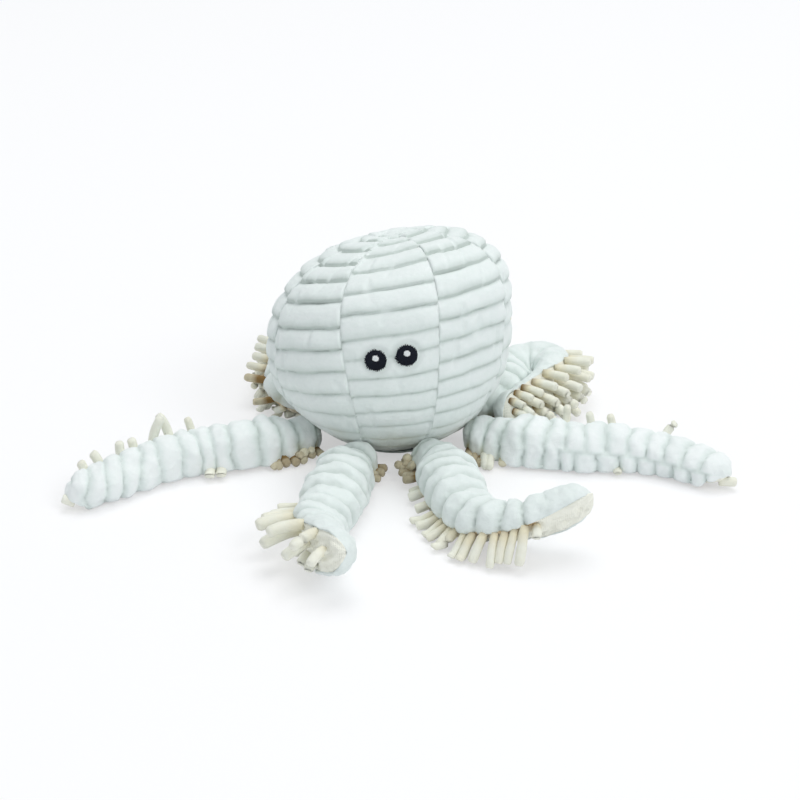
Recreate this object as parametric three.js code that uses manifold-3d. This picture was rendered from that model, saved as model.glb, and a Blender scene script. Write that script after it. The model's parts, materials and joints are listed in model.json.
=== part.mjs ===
// Plush octopus: a ribbed, stuffed head on a ring of eight stuffed arms, each with a ribbed
// sleeve on top and a fringe of thick chenille noodles underneath.
// Millimetres, +Z up, origin at the middle of the flat base. The face looks along -Y.
import * as THREE from 'three';
import { mergeVertices } from 'three/addons/utils/BufferGeometryUtils.js';
import Module from 'manifold-3d';

const wasm = await Module();
wasm.setup();

// Fabric
const plushThickness = 2.4;
const clearance = 0.3;

// Head
const headRadius = 66;
const headHeight = 112;
const waistHeight = 60;
const baseRadius = 26;
const crownRadius = 2;
const tiltHeight = 62;
const crownShiftRight = -0.6;
const crownShiftBack = 15;
const waistShiftLeft = 2.6;
const headRibPitch = 12;
const headRibDepth = 1.1;
const goreCount = 8;
const firstSeamDegrees = 23;
const leanBackDegrees = 13;
const leanLeftDegrees = 9.5;
const crownRoundness = 2.6;
const footRoundness = 2;
const ribPhaseShares = [0.2, 0.6, 0.1, 0.7, 0.4, 0, 0.45, 0.8];

// Embroidered eyes
const eyeDiameter = 11.6;
const eyeHeight = 58.3;
const eyeSpacing = 15.9;
const eyeOffset = 1;
const eyeThickness = 0.9;
const highlightDiameter = 3.6;
const highlightThickness = 0.5;
const highlightRise = 1.4;

// Arms
const armLength = 138;
const armWidth = 31;
const armHeight = 26;
const rootHeight = 19;
const tipHeight = 20;
const swellLength = 28;
const taperPower = 1.5;
const armRibPitch = 11;
const armRibDepth = 1.3;
const sleeveLift = 6.4;
const fillingRaise = 1.2;

// Noodle fringe
const matThickness = 5.6;
const matWidth = 24;
const noodleLength = 15;
const noodleStub = 3;
const noodleSinkLimit = 8;
const noodlePitch = 4.3;
const noodleTipShare = 0.6;
const noodleGrowLength = 40;
const innerRoomShare = 0.25;
const tuckedShare = 0.45;
const restingDroopDegrees = 2;
const freeDroopDegrees = 66;

// Room beyond the toy in the block that is cut away under it, and the slivers merged after it
const cutOverrun = 40;
const sliverSize = 0.02;

// Each arm leaves the head at its own azimuth, counted from the face, and then bends by these
// angles, in degrees, at equal steps along its length. Roll turns the fringe out to one side,
// and the lift shares raise the arm off the floor by a share of its height. Free noodles show
// beyond the bare share of its length; where they are false, they all lie under the arm.
const armPoses = [
  { name: 'front_right', azimuth: 22.5, turns: [0, -11, -13, -6, 14, 54, 76, 82], sections: 14,
    rolls: [0, 0, 0, 0, 12, 38, 60, 66], liftShares: [0, 0, 0, 0, 0.05, 0.15, 0.4, 0.8], noodles: true,
    bareShare: 0 },
  { name: 'side_right', azimuth: 67.5, turns: [-14, 0, 14, 22, 6, -14, -30], sections: 12,
    rolls: [0, 0, -14, -20, -16, -8, 0], liftShares: [0, 0], noodles: false },
  { name: 'back_right', azimuth: 112.5, turns: [44, 56, 56, 18, -50, -112, -134, -140, -142, -142],
    sections: 22, rolls: [0, 0, -6, -18, -38, -62, -82, -90, -90, -84], liftShares: [0, 0],
    noodles: true, bareShare: 0.4 },
  { name: 'rear_right', azimuth: 157.5, turns: [4, 11, 8, 6, 6, 8], sections: 12,
    rolls: [0, 0], liftShares: [0, 0], noodles: false },
  { name: 'rear_left', azimuth: -157.5, turns: [-30, -40, -46, -46, -40, -34], sections: 12,
    rolls: [0, 0], liftShares: [0, 0], noodles: false },
  { name: 'back_left', azimuth: -112.5, turns: [-62, -72, -76, -80, -80, -78], sections: 22,
    rolls: [-24, -60, -80, -84, -80, -70], liftShares: [0, 0], noodles: true, bareShare: 0.06 },
  { name: 'side_left', azimuth: -67.5, turns: [8, 0, -12, 10, 20, 20, 12], sections: 12,
    rolls: [0, 0, 0, 10, 26, 28, 20], liftShares: [0, 0], noodles: false },
  { name: 'front_left', azimuth: -22.5, turns: [14, 12, 11, 13, 21, 34, 46], sections: 14,
    rolls: [0, 2, 8, 24, 56, 80, 84], liftShares: [0, 0, 0, 0, 0.05, 0.25, 0.7], noodles: true,
    bareShare: 0 },
];

// Sizes that follow
const seamAngle = 2 * Math.PI / goreCount;
const baseTop = plushThickness + 2 * clearance;
const rootHalf = rootHeight / 2;
const slideStart = headRadius + rootHalf;
const widthShare = armWidth / armHeight;
const endShares = [0.03, 0.22, 0.6];
const liningColumns = 4;
const spineSteps = 70;

// Materials
const plush = new THREE.MeshStandardMaterial({ color: 0xe3ecea, roughness: 0.95, metalness: 0 });
const chenille = new THREE.MeshStandardMaterial({ color: 0xded9c2, roughness: 0.95, metalness: 0 });
const darkThread = new THREE.MeshStandardMaterial({ color: 0x181d26, roughness: 0.7, metalness: 0 });
const whiteThread = new THREE.MeshStandardMaterial({ color: 0xf2f2ee, roughness: 0.7, metalness: 0 });
const filling = new THREE.MeshStandardMaterial({ color: 0xf6f6f2, roughness: 1, metalness: 0 });

// Indexed triangles from points and faces
function meshOf(points, faces) {
  const geometry = new THREE.BufferGeometry();
  geometry.setAttribute('position', new THREE.Float32BufferAttribute(points.flatMap((p) => p.toArray()), 3));
  geometry.setIndex(faces.flat());
  return geometry;
}

// Faces of a strip between two rows of points that may hold different counts
function strip(near, far, flip) {
  const faces = [];
  let i = 0;
  let j = 0;
  while (i < near.length - 1 || j < far.length - 1) {
    const nearNext = (i + 1) / (near.length - 1);
    const farNext = (j + 1) / (far.length - 1);
    if (j === far.length - 1 || (i < near.length - 1 && nearNext <= farNext)) {
      faces.push([near[i], near[i + 1], far[j]]);
      i += 1;
    } else {
      faces.push([near[i], far[j + 1], far[j]]);
      j += 1;
    }
  }
  return flip ? faces.map(([a, b, c]) => [a, c, b]) : faces;
}

// A thick sheet closed at its four edges: rows of outer points and rows of inner points, where a
// row runs across the sheet. The outer rows may be finer than the inner ones.
function thickSheet(outer, inner) {
  const points = [...outer.flat(), ...inner.flat()];
  const outerAt = (row, column) => row * outer[0].length + column;
  const innerAt = (row, column) => outer.length * outer[0].length + row * inner[0].length + column;
  const outerRow = (row) => outer[0].map((_, column) => outerAt(row, column));
  const innerRow = (row) => inner[0].map((_, column) => innerAt(row, column));
  const outerColumn = (column) => outer.map((_, row) => outerAt(row, column));
  const innerColumn = (column) => inner.map((_, row) => innerAt(row, column));
  const faces = [];
  for (let row = 0; row < outer.length - 1; row += 1) {
    faces.push(...strip(outerRow(row), outerRow(row + 1), false));
  }
  for (let row = 0; row < inner.length - 1; row += 1) {
    faces.push(...strip(innerRow(row), innerRow(row + 1), true));
  }
  faces.push(...strip(outerRow(0), innerRow(0), true));
  faces.push(...strip(outerRow(outer.length - 1), innerRow(inner.length - 1), false));
  faces.push(...strip(outerColumn(0), innerColumn(0), false));
  const lastOuter = outer[0].length - 1;
  const lastInner = inner[0].length - 1;
  faces.push(...strip(outerColumn(lastOuter), innerColumn(lastInner), true));
  return meshOf(points, faces);
}

// A closed body through rings of equal counts, with a flat fan over each end
function loft(rings) {
  const count = rings[0].length;
  const points = rings.flat();
  const faces = [];
  for (let ring = 0; ring < rings.length - 1; ring += 1) {
    for (let k = 0; k < count; k += 1) {
      const a = ring * count + k;
      const b = ring * count + (k + 1) % count;
      faces.push([a, b, a + count], [b, b + count, a + count]);
    }
  }
  const last = (rings.length - 1) * count;
  for (let k = 1; k < count - 1; k += 1) {
    faces.push([0, k + 1, k]);
    faces.push([last, last + k, last + k + 1]);
  }
  return meshOf(points, faces);
}

// Turn the faces outward where the loft ran the other way round
function facingOut(geometry) {
  const position = geometry.getAttribute('position');
  const index = geometry.getIndex();
  const corner = (n) => new THREE.Vector3().fromBufferAttribute(position, index.getX(n));
  let volume = 0;
  for (let n = 0; n < index.count; n += 3) {
    volume += corner(n).dot(corner(n + 1).cross(corner(n + 2)));
  }
  if (volume < 0) {
    for (let n = 0; n < index.count; n += 3) {
      const keep = index.getX(n);
      index.setX(n, index.getX(n + 1));
      index.setX(n + 1, keep);
    }
  }
  return geometry;
}

function toManifold(geometry) {
  const bare = geometry.clone();
  bare.deleteAttribute('normal');
  bare.deleteAttribute('uv');
  const merged = mergeVertices(bare);
  return new wasm.Manifold(new wasm.Mesh({
    numProp: 3,
    vertProperties: new Float32Array(merged.getAttribute('position').array),
    triVerts: new Uint32Array(merged.getIndex().array),
  }));
}

function fromManifold(solid) {
  const result = solid.getMesh();
  const geometry = new THREE.BufferGeometry();
  geometry.setAttribute('position', new THREE.BufferAttribute(result.vertProperties, 3));
  geometry.setIndex(new THREE.BufferAttribute(result.triVerts, 1));
  return geometry;
}

// Everything under the surface that the toy stands on, to be cut away
function underFloor() {
  const reach = 2 * (slideStart + armLength + cutOverrun);
  const box = new THREE.BoxGeometry(reach, reach, cutOverrun);
  box.translate(0, 0, -cutOverrun / 2);
  return toManifold(box);
}

const floorCut = underFloor();

function aboveFloor(geometry) {
  return fromManifold(toManifold(facingOut(geometry)).subtract(floorCut).simplify(sliverSize));
}

function pieceOf(name, geometry, material) {
  const mesh = new THREE.Mesh(geometry, material);
  mesh.name = name;
  return mesh;
}

// Head outline: radius at a height along its axis, a squarish dome over a narrower foot
function headRadiusAt(height) {
  const above = height > waistHeight;
  const p = above ? crownRoundness : footRoundness;
  const footShare = (1 - (baseRadius / headRadius) ** p) ** (1 / p);
  const span = above ? headHeight - waistHeight : (waistHeight - baseTop) / footShare;
  const share = Math.min(1, Math.abs(height - waistHeight) / span);
  return headRadius * (1 - share ** p) ** (1 / p);
}

// The outline as a curve of radius and height from the base to the crown, measured along itself
function headOutline() {
  const stops = 160;
  const points = [];
  for (let n = 0; n <= stops; n += 1) {
    const share = 1 - (1 - n / stops) ** 2;
    const height = baseTop + (headHeight - baseTop) * share;
    const radius = headRadiusAt(height);
    if (radius > crownRadius) points.push(new THREE.Vector2(radius, height));
  }
  return new THREE.SplineCurve(points);
}

const outline = headOutline();
const outlineLength = outline.getLength();

// A point on the head at an azimuth, from a radius and a height along its axis. The head's rings
// lie level at the base, then lean back and to the left, and their middles shift the same way.
function onHead(azimuth, radius, height) {
  const lean = THREE.MathUtils.smoothstep(height, baseTop, tiltHeight);
  const back = Math.tan(THREE.MathUtils.degToRad(leanBackDegrees)) * lean;
  const left = Math.tan(THREE.MathUtils.degToRad(leanLeftDegrees)) * lean;
  const up = new THREE.Vector3(-left, back, 1).normalize();
  const right = new THREE.Vector3(1, 0, 0).addScaledVector(up, -up.x).normalize();
  const front = new THREE.Vector3().crossVectors(right, up);
  const share = (height - baseTop) / (headHeight - baseTop);
  const sideways = crownShiftRight * share ** 2 - 4 * waistShiftLeft * share * (1 - share);
  return new THREE.Vector3(sideways, crownShiftBack * share ** 2, height)
    .addScaledVector(right, radius * Math.sin(azimuth))
    .addScaledVector(front, radius * Math.cos(azimuth));
}

// Radius and height on the outline at a distance along it, moved in by a depth
function outlineAt(distance, depth) {
  const share = THREE.MathUtils.clamp(distance / outlineLength, 0, 1);
  const point = outline.getPointAt(share);
  const tangent = outline.getTangentAt(share);
  const radius = Math.max(crownRadius, point.x - tangent.y * depth);
  return [radius, point.y + tangent.x * depth];
}

// One gore: ribs cross it, and their phase differs from gore to gore as the fabric was cut
function headGore(number) {
  const columns = 3;
  const innerRows = 8;
  const start = THREE.MathUtils.degToRad(firstSeamDegrees) + number * seamAngle;
  const edge = clearance / 2 / headRadius;
  const azimuthAt = (column) => start + edge + (seamAngle - 2 * edge) * column / columns;
  const rowOf = (distance, depth) => {
    const [radius, height] = outlineAt(distance, depth);
    return Array.from({ length: columns + 1 }, (_, column) => {
      const inset = clearance / 2 * (headRadius - radius) / headRadius / Math.max(radius, crownRadius);
      const middle = start + seamAngle / 2;
      const azimuth = azimuthAt(column);
      const drawn = azimuth + inset * (middle - azimuth) / (seamAngle / 2);
      return onHead(drawn, radius, height);
    });
  };
  const outer = [rowOf(0, 0)];
  const half = headRibPitch / 2;
  const phase = ribPhaseShares[number % ribPhaseShares.length] * headRibPitch;
  for (let n = 1; n * half + phase / 2 < outlineLength - half / 2; n += 1) {
    outer.push(rowOf(n * half + phase / 2, n % 2 === 0 ? headRibDepth : 0));
  }
  outer.push(rowOf(outlineLength, 0));
  const depth = headRibDepth + plushThickness;
  const inner = [];
  for (let n = 0; n <= innerRows; n += 1) {
    inner.push(rowOf(outlineLength * n / innerRows, depth));
  }
  return facingOut(thickSheet(outer, inner));
}

function headStuffing() {
  const rows = 9;
  const sides = 16;
  const depth = headRibDepth + plushThickness + 3 * clearance;
  const rings = [];
  for (let row = 0; row <= rows; row += 1) {
    const [radius, height] = outlineAt(outlineLength * row / rows, depth);
    rings.push(Array.from({ length: sides }, (_, k) => (
      onHead(2 * Math.PI * k / sides, radius * Math.cos(Math.PI / sides), height))));
  }
  return facingOut(loft(rings));
}

function basePanel() {
  const disc = new THREE.CylinderGeometry(baseRadius, baseRadius, plushThickness, 32);
  disc.rotateX(Math.PI / 2);
  disc.translate(0, 0, plushThickness / 2);
  return disc;
}

// A flat round of stitches laid on the head at a place on its outline
function stitchedDisc(diameter, thickness, sideways, height, lift) {
  const radius = headRadiusAt(height);
  const azimuth = Math.asin(sideways / radius);
  const middle = onHead(azimuth, radius, height);
  const beside = onHead(azimuth + clearance / radius, radius, height).sub(middle);
  const above = onHead(azimuth, headRadiusAt(height + clearance), height + clearance).sub(middle);
  const outward = new THREE.Vector3().crossVectors(beside, above).normalize();
  const disc = new THREE.CylinderGeometry(diameter / 2, diameter / 2, thickness, 20);
  const turn = new THREE.Quaternion().setFromUnitVectors(new THREE.Vector3(0, 1, 0), outward);
  disc.applyQuaternion(turn);
  const place = middle.addScaledVector(outward, lift + thickness / 2);
  disc.translate(place.x, place.y, place.z);
  return disc;
}

// Value of a table of evenly spaced steps, blended smoothly between them
function alongTable(table, share) {
  const place = THREE.MathUtils.clamp(share, 0, 1) * (table.length - 1);
  const step = Math.min(Math.floor(place), table.length - 2);
  return THREE.MathUtils.lerp(table[step], table[step + 1], place - step);
}

// Height of an arm at a distance from its hinge: drawn in at the root, full, then tapering
function armHeightAt(distance) {
  if (distance < swellLength) {
    const share = THREE.MathUtils.smoothstep(distance, 0, swellLength);
    return THREE.MathUtils.lerp(rootHeight, armHeight, share);
  }
  const share = (distance - swellLength) / (armLength - swellLength);
  return THREE.MathUtils.lerp(armHeight, tipHeight, share ** taperPower);
}

// How far an arm's section is closed at its round ends, from 0 at the end to 1
function armEndShare(distance) {
  const rootShare = THREE.MathUtils.clamp((distance + rootHalf) / rootHalf, 0, 1);
  const tipShare = THREE.MathUtils.clamp((armLength - distance) / (tipHeight / 2), 0, 1);
  const share = Math.min(rootShare, tipShare);
  return Math.sqrt(1 - (1 - share) ** 2);
}

// Height of an arm off the floor at a distance from its hinge
function liftAt(pose, distance) {
  return armHeight * alongTable(pose.liftShares, distance / armLength);
}

// Places along an arm: its middle line on the floor, its direction, and its roll
function armSpine(pose) {
  const step = armLength / spineSteps;
  const spine = [];
  const place = new THREE.Vector3(-rootHalf, 0, 0);
  for (let distance = -rootHalf; distance < armLength + step; distance += step) {
    const turn = distance < 0 ? 0 : alongTable(pose.turns, distance / armLength);
    const heading = THREE.MathUtils.degToRad(turn * THREE.MathUtils.smoothstep(distance, 0, swellLength / 2));
    const along = new THREE.Vector3(Math.cos(heading), Math.sin(heading), 0);
    spine.push({ distance, place: place.clone(), heading });
    place.addScaledVector(along, step);
  }
  return spine;
}

// The frame of an arm's section: middle, up, side, half height and half width
function armFrame(pose, spine, distance) {
  const step = armLength / spineSteps;
  const place = THREE.MathUtils.clamp((distance + rootHalf) / step, 0, spine.length - 1);
  const before = Math.min(Math.floor(place), spine.length - 2);
  const low = spine[before];
  const high = spine[before + 1];
  const blend = place - before;
  const middle = low.place.clone().lerp(high.place, blend);
  const heading = THREE.MathUtils.lerp(low.heading, high.heading, blend);
  const roll = THREE.MathUtils.degToRad(alongTable(pose.rolls, distance / armLength));
  const slope = (liftAt(pose, distance + step) - liftAt(pose, distance - step)) / (2 * step);
  const rise = new THREE.Vector3(-slope * Math.cos(heading), -slope * Math.sin(heading), 1).normalize();
  const flat = new THREE.Vector3(Math.sin(heading), -Math.cos(heading), 0);
  const up = rise.clone().multiplyScalar(Math.cos(roll)).addScaledVector(flat, -Math.sin(roll));
  const side = flat.clone().multiplyScalar(Math.cos(roll)).addScaledVector(rise, Math.sin(roll));
  const halfHeight = armHeightAt(Math.max(0, distance)) / 2;
  const halfWidth = halfHeight * widthShare;
  middle.z = Math.hypot(halfHeight * Math.cos(roll), halfWidth * Math.sin(roll)) + liftAt(pose, distance);
  const bend = (high.heading - low.heading) / step;
  return { middle, up, side, halfHeight, halfWidth, roll, bend };
}

function inSection(frame, across, high) {
  return frame.middle.clone().addScaledVector(frame.side, across).addScaledVector(frame.up, high);
}

// Distances of the rib crests and grooves, with finer steps over the two round ends
function ribStations() {
  const half = armRibPitch / 2;
  const stations = endShares.map((share) => ({ distance: -rootHalf + rootHalf * share, depth: 0 }));
  const ribs = Math.round((armLength - tipHeight / 2) / half);
  for (let n = 0; n <= ribs; n += 1) {
    const distance = (armLength - tipHeight / 2) * n / ribs;
    stations.push({ distance, depth: n % 2 === 0 ? armRibDepth : 0 });
  }
  for (const share of [...endShares].reverse()) {
    stations.push({ distance: armLength - tipHeight / 2 * share, depth: 0 });
  }
  return stations;
}

// Distances of the plain cross sections that the lining, the filling and the strip share
function plainStations(pose) {
  const rows = pose.sections;
  const first = -rootHalf + rootHalf * endShares[0];
  const last = armLength - tipHeight / 2 * endShares[0];
  return Array.from({ length: rows + 1 }, (_, row) => THREE.MathUtils.lerp(first, last, row / rows));
}

// Points of an arch over an arm's section, from edge to edge, moved in by a depth and with its
// two lower edges raised
function archRow(pose, spine, distance, depth, columns, raise = 0) {
  const frame = armFrame(pose, spine, distance);
  const end = armEndShare(distance);
  const low = frame.halfHeight - sleeveLift;
  const foot = Math.asin(low / frame.halfHeight);
  return Array.from({ length: columns + 1 }, (_, k) => {
    const angle = -foot + (Math.PI + 2 * foot) * k / columns;
    const across = (frame.halfWidth - depth) * Math.cos(angle) * end;
    const high = Math.max(-low, (frame.halfHeight - depth) * Math.sin(angle)) * end;
    return inSection(frame, across, k % columns === 0 ? (raise - low) * end : high);
  });
}

// Ribbed sleeve: an arch of thick plush, open underneath where the fringe strip closes it
function armSleeve(pose, spine) {
  const outer = ribStations().map(({ distance, depth }) => archRow(pose, spine, distance, depth, 6));
  const inner = plainStations(pose).map((distance) => {
    const wall = (armRibDepth + plushThickness) * Math.max(armEndShare(distance), endShares[1]);
    return archRow(pose, spine, distance, wall, liningColumns);
  });
  return aboveFloor(thickSheet(outer, inner));
}

// Filling of an arm: the inside of the sleeve, flat underneath
function armFilling(pose, spine) {
  const wall = armRibDepth + plushThickness + clearance;
  const rings = plainStations(pose).slice(1, -1).map((distance) => (
    archRow(pose, spine, distance, wall, liningColumns, fillingRaise)));
  return aboveFloor(loft(rings));
}

// Level of the fringe strip's upper face in a section, just under the sleeve's two edges
function stripTop(frame) {
  return sleeveLift - 2 * clearance - frame.halfHeight;
}

// Half width of the strip, which narrows as the arm does
function stripHalfWidth(frame) {
  return matWidth / 2 * frame.halfHeight / (armHeight / 2);
}

// Corners of the strip's section: its two upper edges, and each side at mid height and below
function matCorners(pose, spine, distance) {
  const frame = armFrame(pose, spine, distance);
  const half = stripHalfWidth(frame);
  const top = stripTop(frame);
  const middle = top - matThickness / 2;
  const bottom = top - matThickness;
  return [
    inSection(frame, -half, top),
    inSection(frame, half, top),
    inSection(frame, half, middle),
    inSection(frame, half, bottom),
    inSection(frame, -half, bottom),
    inSection(frame, -half, middle),
  ];
}

// The strip along an arm: a woven backing with the noodles under the arm pressed into one mat
function fringeMat(pose, spine) {
  return plainStations(pose).slice(1, -1).map((distance) => matCorners(pose, spine, distance));
}

// Direction and length of a free noodle on one side of the strip. On the side that the arm's
// roll leans on they are half tucked under. Inside a bend the noodles bunch up, so they are
// shorter there, and left out where no room is left.
function noodleReach(pose, frame, way, distance) {
  if (distance < pose.bareShare * armLength) return null;
  const freeShare = Math.abs(Math.sin(frame.roll));
  const droop = THREE.MathUtils.degToRad(THREE.MathUtils.lerp(restingDroopDegrees, freeDroopDegrees, freeShare));
  const along = frame.side.clone().multiplyScalar(way * Math.cos(droop)).addScaledVector(frame.up, -Math.sin(droop));
  const growth = THREE.MathUtils.smoothstep(distance, 0, noodleGrowLength);
  let length = THREE.MathUtils.lerp(noodleStub, noodleLength, growth);
  const outerSide = Math.sign(pose.rolls[pose.rolls.length - 1]);
  if (way !== outerSide) length *= THREE.MathUtils.lerp(tuckedShare, 1, freeShare);
  const inward = -way * frame.bend * Math.cos(frame.roll);
  if (inward > 0) {
    const room = innerRoomShare / inward - stripHalfWidth(frame);
    length = Math.min(length, room / Math.cos(droop));
  }
  return length < noodleStub ? null : along.setLength(length);
}

// Sides of the strip that its section's six fields lie on, and which of them are upper fields
const sideOfField = [0, 1, 1, 0, -1, -1];
const upperFields = [1, 5];

// The strip with its free noodles: each is drawn out of one field of the strip's side, in two
// rows like a chessboard, so that no noodle crosses another. Those that would meet the floor
// lie on it, or are left out where they have no room.
function noodleFringe(pose, spine) {
  const stations = plainStations(pose).slice(1, -1);
  const mats = fringeMat(pose, spine);
  const first = stations[0];
  const last = stations[stations.length - 1];
  const columns = Math.round(2 * (last - first) / noodlePitch);
  const corners = mats[0].length;
  const points = [];
  for (let column = 0; column <= columns; column += 1) {
    const place = column / columns * (stations.length - 1);
    const step = Math.min(Math.floor(place), stations.length - 2);
    points.push(...mats[step].map((corner, k) => corner.clone().lerp(mats[step + 1][k], place - step)));
  }
  const faces = [];
  const cap = (start, turned) => {
    for (let k = 1; k < corners - 1; k += 1) {
      faces.push(turned ? [start, start + k + 1, start + k] : [start, start + k, start + k + 1]);
    }
  };
  cap(0, true);
  cap(columns * corners, false);
  for (let column = 0; column < columns; column += 1) {
    const distance = THREE.MathUtils.lerp(first, last, (column + 1 / 2) / columns);
    const frame = armFrame(pose, spine, distance);
    for (let k = 0; k < corners; k += 1) {
      const next = (k + 1) % corners;
      const field = [column * corners + k, column * corners + next,
        (column + 1) * corners + next, (column + 1) * corners + k];
      const way = sideOfField[k];
      const middle = field.reduce((sum, n) => sum.add(points[n]), new THREE.Vector3()).divideScalar(4);
      const offFloor = Math.min(...field.map((n) => points[n].z)) > 0;
      const bears = way !== 0 && offFloor && (column + (upperFields.includes(k) ? 0 : 1)) % 2 === 0;
      const reach = bears ? noodleReach(pose, frame, way, distance) : null;
      const ends = reach ? field.map((n) => (
        points[n].clone().sub(middle).multiplyScalar(noodleTipShare).add(middle).add(reach))) : [];
      const sunk = clearance - Math.min(...ends.map((end) => end.z));
      if (!reach || sunk > noodleSinkLimit) {
        faces.push([field[0], field[1], field[3]], [field[1], field[2], field[3]]);
        continue;
      }
      if (sunk > 0) ends.forEach((end) => end.setZ(end.z + sunk));
      const tip = ends.map((end) => points.push(end) - 1);
      field.forEach((n, side) => {
        const after = (side + 1) % 4;
        faces.push([n, field[after], tip[after]], [n, tip[after], tip[side]]);
      });
      faces.push([tip[0], tip[1], tip[2]], [tip[0], tip[2], tip[3]]);
      noodleCount += 1;
    }
  }
  return aboveFloor(meshOf(points, faces));
}

// An arm's place and direction with its hinge at a radius from the middle of the base
function armPlacement(pose, radius) {
  const azimuth = THREE.MathUtils.degToRad(pose.azimuth);
  const place = new THREE.Vector3(radius * Math.sin(azimuth), -radius * Math.cos(azimuth), 0);
  return new THREE.Matrix4().makeRotationZ(azimuth - Math.PI / 2).setPosition(place);
}

// Radius at which the root of an arm's sleeve rests against the head: it slides in from far out
// by the room that is left
function seatedRadius(pose, sleeve, head) {
  const slides = 16;
  let radius = slideStart;
  for (let n = 0; n < slides; n += 1) {
    const placed = sleeve.transform(armPlacement(pose, radius).elements);
    radius -= placed.minGap(head, slideStart) - clearance;
  }
  return radius;
}

let noodleCount = 0;
const group = new THREE.Group();
const gores = Array.from({ length: goreCount }, (_, number) => headGore(number));
gores.forEach((gore, number) => group.add(pieceOf(`head_gore_${number + 1}`, gore, plush)));
group.add(pieceOf('head_stuffing', headStuffing(), filling));
group.add(pieceOf('base_panel', basePanel(), plush));

for (const [side, way] of [['left', -1], ['right', 1]]) {
  const sideways = eyeOffset + way * eyeSpacing / 2;
  const eye = stitchedDisc(eyeDiameter, eyeThickness, sideways, eyeHeight, clearance);
  group.add(pieceOf(`eye_${side}`, eye, darkThread));
  const glint = stitchedDisc(highlightDiameter, highlightThickness, sideways,
    eyeHeight + highlightRise, 2 * clearance + eyeThickness);
  group.add(pieceOf(`eye_highlight_${side}`, glint, whiteThread));
}

const headSolid = wasm.Manifold.compose(gores.map(toManifold));
for (const pose of armPoses) {
  const spine = armSpine(pose);
  const sleeve = armSleeve(pose, spine);
  const radius = seatedRadius(pose, toManifold(sleeve), headSolid);
  const arm = new THREE.Group();
  armPlacement(pose, radius).decompose(arm.position, arm.quaternion, arm.scale);
  const fringe = pose.noodles ? noodleFringe(pose, spine) : aboveFloor(loft(fringeMat(pose, spine)));
  arm.add(pieceOf(`arm_sleeve_${pose.name}`, sleeve, plush));
  arm.add(pieceOf(`arm_filling_${pose.name}`, armFilling(pose, spine), filling));
  arm.add(pieceOf(`arm_fringe_${pose.name}`, fringe, chenille));
  group.add(arm);
  console.log(`hinge radius of arm ${pose.name}: ${radius.toFixed(3)}`);
}

console.log(`noodles: ${noodleCount}`);

export default group;
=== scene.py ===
import json
import random
from bisect import bisect_right
from math import acos, asin, atan2, copysign, cos, exp, hypot, pi, radians, sin, sqrt, tan

import bmesh
import bpy
from mathutils import Matrix, Vector, noise


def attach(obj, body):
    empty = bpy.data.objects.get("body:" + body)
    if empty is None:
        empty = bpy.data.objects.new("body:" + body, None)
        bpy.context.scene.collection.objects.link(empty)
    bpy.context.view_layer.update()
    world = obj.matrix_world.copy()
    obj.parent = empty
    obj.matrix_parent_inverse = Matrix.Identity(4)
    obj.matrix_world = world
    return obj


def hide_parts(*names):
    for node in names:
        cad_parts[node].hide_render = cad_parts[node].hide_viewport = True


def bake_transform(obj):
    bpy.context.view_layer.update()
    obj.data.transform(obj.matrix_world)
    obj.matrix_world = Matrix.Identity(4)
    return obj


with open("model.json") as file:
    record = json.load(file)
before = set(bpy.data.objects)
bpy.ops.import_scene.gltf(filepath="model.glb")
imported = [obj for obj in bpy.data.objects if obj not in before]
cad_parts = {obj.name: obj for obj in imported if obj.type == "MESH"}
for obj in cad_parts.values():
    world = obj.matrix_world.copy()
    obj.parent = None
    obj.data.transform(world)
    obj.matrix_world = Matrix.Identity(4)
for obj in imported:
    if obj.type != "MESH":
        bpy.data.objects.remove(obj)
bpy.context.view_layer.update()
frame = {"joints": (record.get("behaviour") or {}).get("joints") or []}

mm = 0.001
scene = bpy.context.scene


# ---- Camera, floor and light -----------------------------------------------------------
# The toy lies on a white table and is seen from the front, a little from above. Soft light
# falls from above and leaves faint shadows under the arms.

def add_object(name, data):
    item = bpy.data.objects.new(name, data)
    scene.collection.objects.link(item)
    return item


camera_tilt = radians(25)
camera_distance = 1.1
camera_aim = Vector((0.00275, 0, 0.0212))
camera_back = Vector((0, -cos(camera_tilt), sin(camera_tilt)))

camera_data = bpy.data.cameras.new("camera")
camera_data.lens = 90
camera_data.sensor_width = 36
camera = add_object("camera", camera_data)
camera.location = camera_aim + camera_back * camera_distance
camera.rotation_euler = (-camera_back).to_track_quat("-Z", "Y").to_euler()
scene.camera = camera


def linear(red, green, blue):
    """A colour as seen on a screen, 0 to 255, in the shader's own units."""
    share = [c / 255 for c in (red, green, blue)]
    return (*[c / 12.92 if c <= 0.04045 else ((c + 0.055) / 1.055) ** 2.4 for c in share], 1)


def set_inputs(node, inputs):
    """Gives inputs of a node, by name or number, a value or another node's output."""
    for key, value in inputs.items():
        if isinstance(value, bpy.types.NodeSocket):
            node.id_data.links.new(value, node.inputs[key])
        else:
            node.inputs[key].default_value = value


def add_node(tree, kind, inputs=None, out=0, **settings):
    """Adds a node to a tree and returns one of its outputs."""
    node = tree.nodes.new("ShaderNode" + kind)
    for key, value in settings.items():
        setattr(node, key, value)
    set_inputs(node, inputs or {})
    return node.outputs[out]


def calculated(tree, operation, *terms):
    return add_node(tree, "Math", dict(enumerate(terms)), operation=operation)


def attribute(tree, name):
    return add_node(tree, "Attribute", out="Fac", attribute_name=name)


def grain(tree, scale, detail, roughness=0.5, distortion=0):
    """Noise that stays with the piece when it moves."""
    return add_node(tree, "TexNoise", {
        "Vector": add_node(tree, "TexCoord", out="Object"), "Scale": scale,
        "Detail": detail, "Roughness": roughness, "Distortion": distortion}, out="Fac")


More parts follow.
